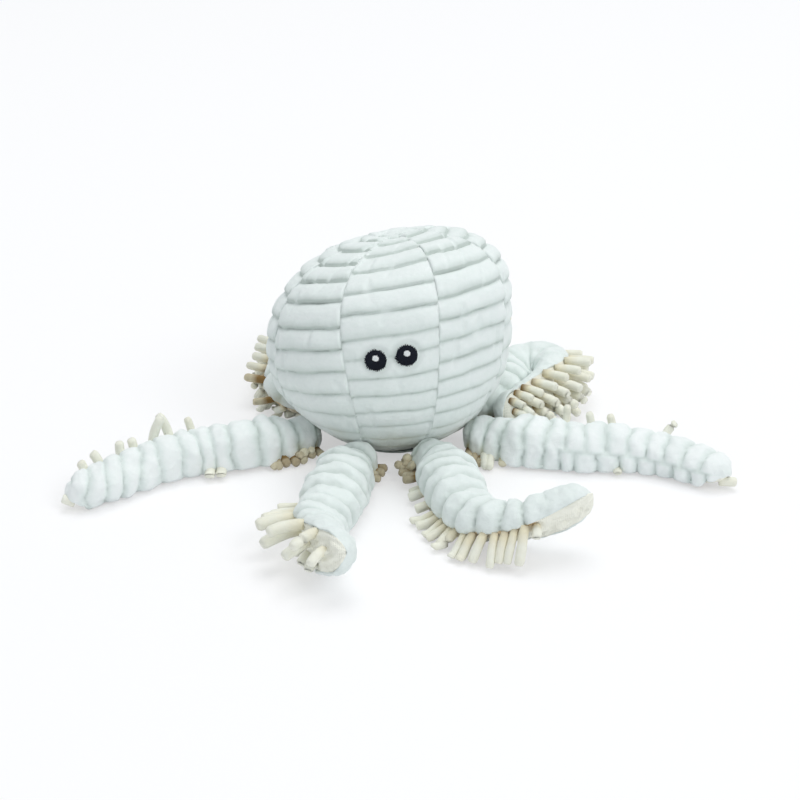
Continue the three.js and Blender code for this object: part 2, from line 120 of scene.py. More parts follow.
def ramp(tree, share, *stops):
    """A colour that runs over stops, each a share and a colour as seen on a screen."""
    tint = add_node(tree, "ValToRGB", {0: share})
    elements = tint.node.color_ramp.elements
    for n, (position, color) in enumerate((stops[0], stops[-1])):
        elements[n].position = position
        elements[n].color = linear(*color)
    for position, color in stops[1:-1]:
        elements.new(position).color = linear(*color)
    return tint


def bump(tree, strength, distance, height, under=None):
    """Relief in the shading, laid over a coarser one where there is one."""
    inputs = {"Strength": strength, "Distance": distance, "Height": height}
    if under is not None:
        inputs["Normal"] = under
    return add_node(tree, "Bump", inputs)


def show_mixed(tree, output, share, first, second):
    """Sends a mix of two shaders to the output of a tree."""
    mixed = add_node(tree, "MixShader", {0: share, 1: first, 2: second})
    set_inputs(tree.nodes[output], {"Surface": mixed})


def node_material(name):
    """A material, its node tree and its Principled shader."""
    material = bpy.data.materials.new(name)
    material.use_nodes = True
    return material, material.node_tree, material.node_tree.nodes["Principled BSDF"]


def new_piece(name, mesh, material):
    """Puts a finished mesh, worked out in millimetres, into the scene as a piece."""
    bmesh.ops.scale(mesh, verts=mesh.verts, vec=(mm, mm, mm))
    data = bpy.data.meshes.new(name)
    mesh.to_mesh(data)
    mesh.free()
    for polygon in data.polygons:
        polygon.use_smooth = True
    data.materials.append(material)
    return add_object(name, data)


floor_size, floor_drop, floor_glow = 6000, 0.3, 0.5
white = (1, 1, 1, 1)

floor_paint, tree, shader = node_material("white_table")
set_inputs(shader, {"Base Color": linear(250, 250, 252), "Roughness": 0.9})
seen = add_node(tree, "LightPath", out="Is Camera Ray")
glow = add_node(tree, "Emission", {"Color": white, "Strength": 1})
show_mixed(tree, "Material Output", calculated(tree, "MULTIPLY", seen, floor_glow),
           shader.outputs[0], glow)
mesh = bmesh.new()
bmesh.ops.create_grid(mesh, x_segments=1, y_segments=1, size=floor_size)
bmesh.ops.translate(mesh, verts=mesh.verts, vec=(0, 0, -floor_drop))
floor = new_piece("floor", mesh, floor_paint)

world = bpy.data.worlds.new("studio")
world.use_nodes = True
scene.world = world
tree = world.node_tree
room_light = tree.nodes["Background"]
set_inputs(room_light, {"Color": (0.93, 0.97, 1, 1), "Strength": 0.53})
white_room = add_node(tree, "Background", {"Color": white, "Strength": 1})
seen, mirrored = (add_node(tree, "LightPath", out=f"Is {kind} Ray")
                  for kind in ("Camera", "Glossy"))
show_mixed(tree, "World Output", calculated(tree, "MAXIMUM", seen, mirrored),
           room_light.outputs[0], white_room)

lamp_aim = Vector((0, 0, 0.03))
for name, place, size, power in (
        ("key", (1.9, -1.8, 2.4), 1.5, 29),
        ("over", (0.2, 0.7, 3.2), 2.4, 45),
        ("fill", (-2.4, -2.4, 1.8), 1.8, 3)):
    lamp_data = bpy.data.lights.new(name, "AREA")
    lamp_data.shape = "DISK"
    lamp_data.size = size
    lamp_data.energy = power
    lamp = add_object(name, lamp_data)
    lamp.location = place
    lamp.rotation_euler = (lamp_aim - lamp.location).to_track_quat("-Z", "Y").to_euler()
scene.view_settings.view_transform = "Standard"


# ---- Head gores ------------------------------------------------------------------------
# Eight leaf-shaped gores of wide-ribbed short-pile plush, sewn edge to edge and stuffed full.
# The ribs run level round the head, and each gore was cut at its own place in the ribs, so
# they step at the seams. The head slumps back and to the left on the arms.

head_radius, head_height, waist_height, base_radius = 66, 112, 60, 26
crown_roundness, foot_roundness = 2.6, 2
base_top = 3
lean_back, lean_left = tan(radians(13)), tan(radians(9.5))
tilt_height = 62
crown_right, crown_back, waist_left = -0.6, 15, 2.6
outline_steps = 1200
gore_count, first_seam = 8, radians(23)
gore_angle = 2 * pi / gore_count
right_gore, left_gore, face_gore = 0, 6, 7
plush_thickness = 2.2
rib_depth, rib_pitch = 2.7, 11.7
seam_level, seam_reach = 0.55, 1
weld = 0.02

# Where the grooves of each gore lie, up the head from its foot: in even steps round the back,
# and one by one on the three gores of the front.
rib_rows = {number: [-14 + 3.1 * number % rib_pitch + rib_pitch * k for k in range(18)]
            for number in range(gore_count)}
rib_rows[face_gore] = [0, 9.5, 19, 28.5, 38, 46, 54.5, 63.5, 73.5, 83.5, 96, 108, 121.5, 135,
                       149, 162, 176]
rib_rows[left_gore] = [-1, 10.5, 22, 33.8, 45.5, 57, 68.5, 80, 91.5, 104.5, 116, 128, 141, 155,
                       168, 180]
rib_rows[right_gore] = [-4, 6, 15, 24, 33, 42, 50, 58, 65.5, 75, 86.5, 98, 111.5, 126, 140,
                        154, 168, 180]


def smooth(value, low, high):
    share = min(1, max(0, (value - low) / (high - low)))
    return share * share * (3 - 2 * share)


def mix(a, b, share):
    return a + (b - a) * share


def lump(point, size, seed=0):
    """Smooth noise from about -1 to 1 with lumps of a size in millimetres."""
    return noise.noise(Vector((point[0] / size + 17.3 * seed, point[1] / size, point[2] / size)))


def head_radius_at(height):
    above = height > waist_height
    power = crown_roundness if above else foot_roundness
    foot = (1 - (base_radius / head_radius) ** power) ** (1 / power)
    span = head_height - waist_height if above else (waist_height - base_top) / foot
    share = min(1, abs(height - waist_height) / span)
    return head_radius * (1 - share ** power) ** (1 / power)


head_outline = [(0, head_radius_at(base_top), base_top)]
for n in range(1, outline_steps + 1):
    height = base_top + (head_height - base_top) * (1 - (1 - n / outline_steps) ** 2)
    radius = head_radius_at(height)
    far, radius_before, height_before = head_outline[-1]
    far += hypot(radius - radius_before, height - height_before)
    head_outline.append((far, radius, height))
outline_length = head_outline[-1][0]


def outline_at(distance):
    """Radius and height on the head's outline at a distance from its foot."""
    above = bisect_right(head_outline, distance, 1, outline_steps, key=lambda row: row[0])
    a, b = head_outline[above - 1:above + 1]
    share = min(1, max(0, (distance - a[0]) / (b[0] - a[0])))
    return mix(a[1], b[1], share), mix(a[2], b[2], share)


def on_head(azimuth, radius, height):
    lean = smooth(height, base_top, tilt_height)
    up = Vector((-lean_left * lean, lean_back * lean, 1)).normalized()
    right = (Vector((1, 0, 0)) - up * up.x).normalized()
    front = right.cross(up)
    share = (height - base_top) / (head_height - base_top)
    sideways = crown_right * share ** 2 - 4 * waist_left * share * (1 - share)
    middle = Vector((sideways, crown_back * share ** 2, height))
    return middle + right * radius * sin(azimuth) + front * radius * cos(azimuth)


def head_frame(azimuth, distance):
    """Point on the head and the way out of it."""
    radius, height = outline_at(distance)
    right, left = (on_head(azimuth + turn, max(radius, 1), height) for turn in (0.01, -0.01))
    above, below = (on_head(azimuth, *outline_at(distance + step)) for step in (0.5, -0.5))
    return on_head(azimuth, radius, height), (right - left).cross(above - below).normalized()


def rib_round(share, lean=1, full=2.4, steep=0.75):
    """Height of a rib's back, from 0 in one groove over 1 on top to 0 in the next."""
    return (1 - abs(2 * share ** lean - 1) ** full) ** steep


def rib_height(rows, distance):
    """Height of the rib at a distance up the head, and how dark its shade is there."""
    for low, high in zip(rows, rows[1:]):
        if distance < high:
            share = min(1, max(0, (distance - low) / (high - low)))
            groove = min(distance - low, high - distance)
            # Painted shade: the lower part of each rib, which faces down, and a thin dark line in
            # each groove.
            shade = 0.5 * (1 - smooth(share, 0, 0.42)) + 0.75 * exp(-(groove / 0.75) ** 2)
            return rib_round(share, 0.62, 2.9, 0.6), shade
    return 0, 1


eye_spacing, eye_offset, eye_height, eye_level = 15.9, 1, 58.3, 0.7
eye_distance = next(far for far, _, height in head_outline if height >= eye_height)
eye_places = []
for way in (-1, 1):
    radius = head_radius_at(eye_height)
    azimuth = asin((eye_offset + way * eye_spacing / 2) / radius)
    eye_places.append((azimuth, eye_distance, on_head(azimuth, radius, eye_height)))


def gore_relief(number, point, across, distance, width):
    """How far the plush stands off the head's even shape, and how much groove shade is painted
    there.
    """
    seam = min(across, 1 - across) * width
    edge = smooth(seam, 0, seam_reach) ** 0.6
    if number == face_gore and across > 0.5 or number == right_gore and across <= 0.5:
        edge = mix(0.22, 1, edge)
    wavy = distance + 1.3 * lump(point, 26, number) + 0.5 * lump(point, 10, number + 20)
    fade = smooth(distance, 10, 62) * 0.7 + 0.3
    crown = 1 - 0.5 * smooth(distance, 150, 170)
    firm = smooth(distance, 40, 90)
    crisp = {right_gore: mix(0.75, 1, firm), left_gore: 1.15,
             face_gore: mix(0.68, 0.88, firm)}.get(number, 1)
    depth = crisp * rib_depth * fade * crown * (1 + 0.45 * lump(point, 17, number + 5))
    height, hollow = rib_height(rib_rows[number], wavy)
    rib = depth * height
    tuck = smooth(lump((across * width * 3.2, distance, 0), 17, number + 9), 0.22, 0.6)
    rib *= 1 - 0.42 * tuck
    full = 0.5 * sin(pi * across) ** 0.5 + 1.1 * lump(point, 30, 3)
    fine = 0.2 * lump(point, 5, 7) + 0.1 * lump(point, 2, 8)
    pucker = 0.3 * sin(distance * 2 * pi / 4.2) * exp(-(seam / 1.6) ** 2)
    relief = mix(seam_level * fade, rib - 0.55 * rib_depth + full + fine + pucker, edge)
    # The painted groove shade fades low on the head, on the crown, at tucks and round the eyes, and
    # is lighter on the face gore.
    hollow *= fade * crown * (1 - 0.5 * tuck) * (0.7 if number == face_gore else 1)
    for _, _, eye in eye_places if number == face_gore else ():
        reach = (point - eye).length
        held = 1 - smooth(reach, 5.2, 9)
        ring = exp(-((reach - 6.9) / 1.3) ** 2)
        relief = mix(relief, eye_level, held) - ring
        hollow = mix(hollow, 0.2, held)
    return relief, hollow


def thicken(piece, thickness):
    """Gives a sheet its thickness, inwards from the face that shows."""
    wall = piece.modifiers.new("thickness", "SOLIDIFY")
    wall.thickness = thickness * mm
    wall.offset = -1


def cloth(columns, rows, *layers):
    """A flat square from -0.5 to 0.5 both ways, whose points are then laid one by one."""
    mesh = bmesh.new()
    bmesh.ops.create_grid(mesh, x_segments=columns, y_segments=rows, size=0.5)
    return mesh, *(mesh.verts.layers.float.new(layer) for layer in layers)


def face_towards(mesh, place, way):
    """Turns a sheet so that its face nearest to a place looks a given way."""
    mesh.normal_update()
    nearest = min(mesh.faces, key=lambda face: (face.calc_center_median() - place).length)
    if nearest.normal.dot(way) < 0:
        bmesh.ops.reverse_faces(mesh, faces=mesh.faces)


plush, tree, shader = node_material("white_plush")
fibre, nap, patch = grain(tree, 1500, 3, 0.65), grain(tree, 420, 4, 0.6), grain(tree, 70, 3, 0.55)
# The plush darkens with the painted groove shade, mottled by random patches and nap.
patch_and_groove_shade = calculated(tree, "MULTIPLY_ADD", patch, 0.3, attribute(tree, "hollow"))
total = calculated(tree, "MULTIPLY_ADD", nap, 0.22, patch_and_groove_shade)
tint = ramp(tree, calculated(tree, "SUBTRACT", total, 0.05),
            (0, (243, 247, 246)), (0.27, (231, 239, 236)), (1, (196, 207, 201)))
# Painted warm bounce light from the cream noodles: low on the head and near the arm roots the
# painted groove shade turns olive yellow.
painted_warm_shade = calculated(tree, "MULTIPLY", patch_and_groove_shade, attribute(tree, "grubby"))
bounce_tinted = add_node(tree, "Mix", {0: painted_warm_shade, 6: tint, 7: linear(182, 172, 118)}, out=2,
                    data_type="RGBA")
set_inputs(shader, {
    "Base Color": bounce_tinted,
    "Normal": bump(tree, 0.5, 0.0004, fibre, bump(tree, 0.45, 0.0009, nap)),
    "Roughness": 0.95, "Specular IOR Level": 0.2, "Sheen Weight": 0.25, "Sheen Roughness": 0.6})


def seam_azimuth(number, distance):
    """Where the seam before a gore runs; the one left of the face wanders round the head."""
    azimuth = first_seam + number * gore_angle
    if number == face_gore:
        wander = mix(4.2, -3.6, smooth(distance, 38, 122))
        azimuth += radians(wander * smooth(distance, 8, 40) * (1 - smooth(distance, 125, 160)))
    return azimuth


for number in range(gore_count):
    mesh, shaded, grubby = cloth(44, 230, "hollow", "grubby")
    for vertex in mesh.verts:
        across, along = vertex.co.x + 0.5, vertex.co.y + 0.5
        distance = outline_length * along
        azimuth = mix(seam_azimuth(number, distance), seam_azimuth(number + 1, distance), across)
        point, out = head_frame(azimuth, distance)
        width = outline_at(distance)[0] * gore_angle
        relief, vertex[shaded] = gore_relief(number, point, across, distance, width)
        vertex.co = point + out * relief * smooth(outline_length - distance, 0, 5)
        # Painted warm bounce light, stronger towards the bottom of the head.
        vertex[grubby] = smooth(30 + 12 * lump(point, 14, 52) - point.z, 0, 22)
    bmesh.ops.remove_doubles(mesh, verts=mesh.verts, dist=weld)
    face_towards(mesh, *head_frame(seam_azimuth(number + 0.5, 0), outline_length / 2))
    gore = new_piece(f"gore_{number + 1}", mesh, plush)
    thicken(gore, plush_thickness)
    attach(gore, "head")
    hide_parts(f"head_gore_{number + 1}")


# ---- Head stuffing ---------------------------------------------------------------------
# Loose polyester fibre fills the head tightly. It is pushed in through a gap in the base
# seam, and swells out against the backs of the gores.

stuffing, tree, shader = node_material("polyester_stuffing")
set_inputs(shader, {
    "Base Color": ramp(tree, grain(tree, 130, 3), (0, (226, 226, 222)), (1, (248, 248, 246))),
    "Normal": bump(tree, 0.7, 0.001, grain(tree, 900, 5, 0.7, 1.5)), "Roughness": 1})

stuffing_depth, stuffing_level, foot_share = 4.9, base_top + 0.4, 0.14
mesh = bmesh.new()
bmesh.ops.create_uvsphere(mesh, u_segments=72, v_segments=48, radius=1)
for vertex in mesh.verts:
    azimuth = atan2(vertex.co.x, -vertex.co.y)
    along = 1 - acos(max(-1, min(1, vertex.co.z))) / pi
    if along < foot_share:
        vertex.co = on_head(azimuth, (base_radius - 1.5) * along / foot_share, stuffing_level)
        continue
    point, out = head_frame(azimuth, outline_length * (along - foot_share) / (1 - foot_share))
    depth = stuffing_depth - 0.9 * lump(point, 12, 40) - 0.4 * lump(point, 5, 41)
    vertex.co = point - out * depth
    vertex.co.z = max(vertex.co.z, stuffing_level)
bmesh.ops.recalc_face_normals(mesh, faces=mesh.faces)
filling = new_piece("stuffing_head", mesh, stuffing)
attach(filling, "head")
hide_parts("head_stuffing")


# ---- Base panel ------------------------------------------------------------------------
# A round of the same ribbed plush closes the head underneath. It is sewn to the feet of the
# gores and pressed flat by the toy's weight.

panel_thickness, panel_level = 2.4, 1.3
panel_rib_depth, panel_rib_pitch = 1.1, 11.5
mesh, shaded = cloth(64, 64, "hollow")
for vertex in mesh.verts:
    x, y = 2 * vertex.co.x, 2 * vertex.co.y
    round_x = x * sqrt(1 - y * y / 2) * base_radius
    round_y = y * sqrt(1 - x * x / 2) * base_radius
    reach = hypot(round_x, round_y)
    wavy = round_y + 0.8 * lump((round_x, round_y, 0), 14, 50)
    rib = rib_round(wavy / panel_rib_pitch % 1) * smooth(base_radius - reach, 0, 3)
    relief = panel_rib_depth * rib + 0.2 * lump((round_x, round_y, 0), 3, 51)
    high = max(0, panel_level - relief) if reach < base_radius - 0.1 else 1.6
    vertex.co = (round_x, round_y, high)
    # Painted shade in the panel's grooves.
    vertex[shaded] = 1 - rib
face_towards(mesh, Vector((0, 0, 0)), Vector((0, 0, -1)))
panel = new_piece("base_panel_plush", mesh, plush)
thicken(panel, panel_thickness - panel_level)
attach(panel, "head")
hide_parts("base_panel")


# ---- Embroidered eyes ------------------------------------------------------------------
# Each eye is a round of dark navy satin stitches worked straight into the plush, which draws
# the pile in around it. A few thread ends stand out past the edge. A small round of white
# stitches on top makes the glint, and the thread ends in a tiny grey knot in its middle.

eye_radius, eye_dome = 5.8, 1
glint_radius, glint_rise, glint_dome = 1.8, 1.4, 0.7
knot_radius, knot_dome = 0.55, 0.3
stitch_lean = radians(-12)


def thread_material(name, light, dark):
    material, tree, shader = node_material(name)
    set_inputs(shader, {
        "Base Color": ramp(tree, grain(tree, 900, 2), (0, dark), (1, light)),
        "Normal": bump(tree, 0.3, 0.0002, grain(tree, 4000, 2)),
        "Roughness": 0.65, "Specular IOR Level": 0.2})
    return material


navy_thread = thread_material("navy_thread", (20, 26, 42), (6, 8, 15))
white_thread = thread_material("white_thread", (244, 246, 246), (222, 226, 226))
grey_thread = thread_material("grey_thread", (120, 126, 134), (90, 96, 104))


def stitch_template(sides, rings):
    """A plain closed rod of unit length and radius, to be bent into one stitch or noodle."""
    mesh = bmesh.new()
    bmesh.ops.create_cone(mesh, cap_ends=True, segments=sides, radius1=1, radius2=1, depth=1)
    sides_up = [e for e in mesh.edges if abs(e.verts[0].co.z - e.verts[1].co.z) > 0.5]
    bmesh.ops.subdivide_edges(mesh, edges=sides_up, cuts=rings)
    data = bpy.data.meshes.new("template")
    mesh.to_mesh(data)
    mesh.free()
    return data


stitch = stitch_template(6, 7)


def add_stitch(mesh, path, width, height, up):
    """One flat stitch along a path, a function from share to point, with its ends sunk in."""
    before = len(mesh.verts)
    mesh.from_mesh(stitch)
    mesh.verts.ensure_lookup_table()
    for vertex in mesh.verts[before:]:
        share = vertex.co.z + 0.5
        along = (path(min(1, share + 0.05)) - path(max(0, share - 0.05))).normalized()
        beside = along.cross(up).normalized()
        rounded = max(0.35, sin(pi * mix(0.06, 0.94, share)) ** 0.4)
        vertex.co = (path(share) + beside * vertex.co.x * width * rounded
                     + up * vertex.co.y * height * rounded)


def stitched_round(name, eye, radius, dome, base, raised, seed, material, spacing=0.46,
                   ragged=0.36, loose=0):
    """A round of parallel satin stitches over a low pad, at a place on the head."""
    point, out = head_frame(*eye[:2])
    right = Vector((0, 0, 1)).cross(out).normalized()
    above = out.cross(right).normalized()
    chance = random.Random(seed)

    def at(x, y, high):
        fall = x * x / (2 * head_radius) + y * y / 150
        return point + right * x + above * (y + raised) + out * (base + high - fall)

    mesh = bmesh.new()
    count = int(2 * radius / spacing)
    for n in range(count + 1):
        offset = -radius + 2 * radius * (n + 0.1 * chance.uniform(-1, 1)) / count
        half = sqrt(max(0, radius ** 2 - offset ** 2)) + chance.uniform(-ragged, ragged)
        low = -half - chance.uniform(0, ragged)
        if half < 0.7:
            continue
        skew = chance.uniform(-0.05, 0.05)

        def path(share):
            along = mix(low, half, share)
            beside = offset + skew * along
            x = beside * cos(stitch_lean) - along * sin(stitch_lean)
            y = beside * sin(stitch_lean) + along * cos(stitch_lean)
            inside = max(0, 1 - (x * x + y * y) / (radius * 1.08) ** 2)
            return at(x, y, dome * inside ** 0.5 + 0.12 - 0.6 * abs(2 * share - 1) ** 8)

        add_stitch(mesh, path, spacing * 0.62, 0.24, out)
    for n in range(loose):
        angle = chance.uniform(radians(150), radians(330))
        x, y = cos(angle) * radius * 0.96, sin(angle) * radius * 0.96
        reach = chance.uniform(0.3, 0.9)
        turn = angle + chance.uniform(-0.6, 0.6)

        def path(share):
            gone = share * 1.6 - 0.6
            return at(x + cos(turn) * reach * gone, y + sin(turn) * reach * gone,
                      0.35 - 0.25 * max(0, gone))

        add_stitch(mesh, path, 0.22, 0.2, out)
    pad = bmesh.ops.create_uvsphere(mesh, u_segments=28, v_segments=12, radius=1)
    for vertex in pad["verts"]:
        high = vertex.co.z * (dome * 0.75 if vertex.co.z > 0 else 0.9)
        vertex.co = at(vertex.co.x * radius * 0.93, vertex.co.y * radius * 0.93, high)
    piece = new_piece(name, mesh, material)
    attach(piece, "head")
    return piece


for side, eye, seed in zip(("left", "right"), eye_places, (4, 9)):
    dark = stitched_round(f"eye_stitches_{side}", eye, eye_radius, eye_dome, eye_level, 0, seed,
                          navy_thread, loose=7)
    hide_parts(f"eye_{side}")
    glint = stitched_round(f"glint_stitches_{side}", eye, glint_radius, glint_dome,
                           eye_level + eye_dome - 0.1, glint_rise, seed + 1, white_thread,
                           spacing=0.4, ragged=0.1)
    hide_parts(f"eye_highlight_{side}")
    knot = stitched_round(f"glint_knot_{side}", eye, knot_radius, knot_dome,
                          eye_level + eye_dome + glint_dome - 0.3, glint_rise - 0.1, seed + 2,
                          grey_thread, spacing=0.25, ragged=0.05)


# ---- Arm sleeves -----------------------------------------------------------------------
# Each arm is a stuffed tube. Its back is a sleeve of the same ribbed plush, whose ribs run
# round the arm like a row of beads; its two lower edges are sewn to the fringed strip. The
# root is gathered and sewn to the foot of the head, where the real arm flops; the sleeve is
# laid in place and not attached to the arm's body, so it does not move with it.

arm_length, arm_width, arm_height, root_height, tip_height = 138, 31, 26, 19, 20
root_half, tip_half = root_height / 2, tip_height / 2
swell_length, taper_power = 28, 1.5
sleeve_lift, sleeve_thickness = 6.4, 1.3
sleeve_foot = asin(1 - sleeve_lift / (arm_height / 2))
sleeve_cut, sleeve_rest = 46, 1.4
arm_rib_pitch, arm_rib_depth = 11, 2.7
spine_step = arm_length / 70
blend_reach = 14

# How each arm lies. Lists run from root to tip, left and right are as seen from the head, and
# angles are in degrees. Azimuth is the arm's way out, turns bend it to the left, rolls lean its
# back to the left, lifts raise it in arm heights and slim makes it thinner. Lips hang its right
# and its left hem over the seam. Cap is the length of its smooth tip and bare where its noodles
# end. Phase and slant place its ribs, seam is a seam along it, and pale takes
# painted shade off the whole arm, painting it lighter; below zero it paints it darker.
plain_pose = dict(rolls=[0, 0], lifts=[0, 0], slim=[1, 1], slant=0, pale=0, bare=arm_length)
arm_poses = {
    "front_right": dict(
        azimuth=22.5, turns=[0, -11, -13, -6, 14, 54, 76, 82], rolls=[0, 0, 0, 0, 12, 38, 60, 66],
        lifts=[0, 0, 0, 0, 0.05, 0.15, 0.4, 0.8], lips=([0, 0], [1, 1, 1, 0.4, 0, 0]),
        slim=[1, 1, 0.97, 0.95], cap=26, bare=74, phase=0.2, pale=-0.05),
    "side_right": dict(
        azimuth=67.5, turns=[-14, 0, 14, 22, 6, -14, -30], rolls=[0, 0, -14, -20, -16, -8, 0],
        lips=([1, 1], [0.6, 0.6]), slim=[1, 0.9, 0.87, 0.87], cap=4, phase=0.6, seam=30,
        pale=0.16),
    "back_right": dict(
        azimuth=112.5, turns=[44, 54, 52, 14, -54, -118, -142, -150, -152, -152],
        rolls=[0, 0, -6, -18, -46, -86, -118, -134, -138, -130], lips=([0, 0], [0, 0]),
        cap=92, bare=56, phase=0.1),
    "rear_right": dict(
        azimuth=157.5, turns=[4, 11, 8, 6, 6, 8], lips=([0.5, 0.5], [0.5, 0.5]),
        slim=[1, 0.95], cap=5, phase=0.8),
    "rear_left": dict(
        azimuth=-157.5, turns=[-30, -40, -46, -46, -40, -34], lips=([0.5, 0.5], [0.5, 0.5]),
        slim=[1, 0.95], cap=5, phase=0.3),
    "back_left": dict(
        azimuth=-112.5, turns=[-62, -72, -76, -80, -80, -78], rolls=[-24, -60, -80, -84, -80, -70],
        lips=([0.3, 0, 0], [0, 0]), cap=8, phase=0.5),
    "side_left": dict(
        azimuth=-67.5, turns=[8, 0, -12, 10, 20, 20, 12], rolls=[0, 0, 0, 10, 26, 28, 20],
        lips=([0.4, 0.4], [1, 1]), slim=[1, 0.89, 0.86, 0.82, 0.82], cap=3, phase=0.4,
        slant=0.6, pale=0.16),
    "front_left": dict(
        azimuth=-22.5, turns=[14, 12, 11, 13, 23, 42, 62], rolls=[0, 2, 8, 24, 60, 92, 104],
        lifts=[0, 0, 0, 0, 0.05, 0.25, 0.6], lips=([0, 0], [0.7, 0.7, 0.5, 0, 0]), cap=44,
        bare=54, phase=0.7, pale=-0.05),
}


def along_table(table, share):
    place = min(1, max(0, share)) * (len(table) - 1)
    step = min(int(place), len(table) - 2)
    return mix(table[step], table[step + 1], place - step)


def arm_height_at(distance):
    if distance < swell_length:
        return mix(root_height, arm_height, smooth(distance, 0, swell_length))
    return mix(arm_height, tip_height,
               max(0, (distance - swell_length) / (arm_length - swell_length)) ** taper_power)


def arm_spine(pose):
    """Middle line of an arm on the floor, in even steps from its root."""
    spine = []
    x, y, distance = -root_half, 0, -root_half
    while distance < arm_length + spine_step:
        turn = 0 if distance < 0 else along_table(pose["turns"], distance / arm_length)
        heading = radians(turn * smooth(distance, 0, swell_length / 2))
        spine.append((x, y, heading))
        x, y = x + cos(heading) * spine_step, y + sin(heading) * spine_step
        distance += spine_step
    return spine


for joint in frame["joints"]:
    pose = arm_poses[joint["name"].removeprefix("arm_").removesuffix("_flop")]
    for key, value in plain_pose.items():
        pose.setdefault(key, value)
    hinge = Vector(joint["pos_m"])
    pose["body"] = joint["child"]
    pose["placed"] = (Matrix.Translation((hinge.x / mm, hinge.y / mm, 0))
                      @ Matrix.Rotation(radians(pose["azimuth"]) - pi / 2, 4, "Z"))
    pose["spine"] = arm_spine(pose)
    pose["sections"] = {}


def arm_section(pose, distance):
    """Middle, up, side, ahead, half height, half width and roll of an arm's section."""
    key = round(distance, 3)
    if key in pose["sections"]:
        return pose["sections"][key]
    spine = pose["spine"]
    place = min(len(spine) - 1, max(0, (distance + root_half) / spine_step))
    before = min(int(place), len(spine) - 2)
    x, y, heading = (mix(a, b, place - before) for a, b in zip(spine[before], spine[before + 1]))
    roll = radians(along_table(pose["rolls"], distance / arm_length))

    def lift(where):
        return arm_height * along_table(pose["lifts"], where / arm_length)

    slope = (lift(distance + spine_step) - lift(distance - spine_step)) / (2 * spine_step)
    rise = Vector((-slope * cos(heading), -slope * sin(heading), 1)).normalized()
    flat = Vector((sin(heading), -cos(heading), 0))
    up = rise * cos(roll) - flat * sin(roll)
    side = flat * cos(roll) + rise * sin(roll)
    slim = along_table(pose["slim"], distance / arm_length)
    half_height = arm_height_at(max(0, distance)) / 2 * slim
    half_width = half_height * arm_width / arm_height
    resting = hypot(half_height * cos(roll), half_width * sin(roll))
    middle = Vector((x, y, resting + lift(distance)))
    turned = pose["placed"].to_3x3()
    section = (pose["placed"] @ middle, turned @ up, turned @ side,
               (turned @ up.cross(side)).normalized(), half_height, half_width, roll)
    pose["sections"][key] = section
    return section


def arm_station(along):
    """Distance and closing share at a share of the way over both round ends of an arm."""
    root_arc, tip_arc = root_half * pi / 2, tip_half * pi / 2
    middle = arm_length - tip_half
    walked = along * (root_arc + middle + tip_arc)
    if walked < root_arc:
        angle = walked / root_half
        return -root_half * cos(angle), sin(angle)
    if walked < root_arc + middle:
        return walked - root_arc, 1
    angle = (walked - root_arc - middle) / tip_half
    return middle + tip_half * sin(angle), max(0, cos(angle))


lip_line = [(0.72, -0.6), (0.84, -0.84), (0.98, -0.72), (1.02, -0.4), (1, 0)]
lip_share = 0.34


def lip_at(pose, way, distance):
    """How far an edge hangs over its seam: 0 not at all, 1 as far as the floor."""
    lip = along_table(pose["lips"][0 if way > 0 else 1], distance / arm_length)
    return lip * smooth(arm_length - distance, 2, 14)


def curve_at(points, share):
    """A point on the smooth curve through a list of points."""
    place = share * (len(points) - 1)
    step = min(int(place), len(points) - 2)
    u = place - step
    before, a, b, after = (points[min(len(points) - 1, max(0, step + k))] for k in (-1, 0, 1, 2))
    return (0.5 * (2 * a[k] + (b[k] - before[k]) * u
                   + (2 * before[k] - 5 * a[k] + 4 * b[k] - after[k]) * u * u
                   + (3 * a[k] - before[k] - 3 * b[k] + after[k]) * u ** 3) for k in (0, 1))


def arch_point(share, lip):
    """Place across and up on the sleeve's arch, in half widths and half heights."""
    t = min(share, 1 - share) * 2
    angle = -sleeve_foot + (pi / 2 + sleeve_foot) * t
    if t < lip_share:
        lip_x, lip_y = curve_at(lip_line, t / lip_share)
    else:
        round_angle = (t - lip_share) / (1 - lip_share) * pi / 2
        lip_x, lip_y = cos(round_angle), sin(round_angle)
    x, y = mix(cos(angle), lip_x, lip), mix(sin(angle), lip_y, lip)
    return x if share < 0.5 else -x, y


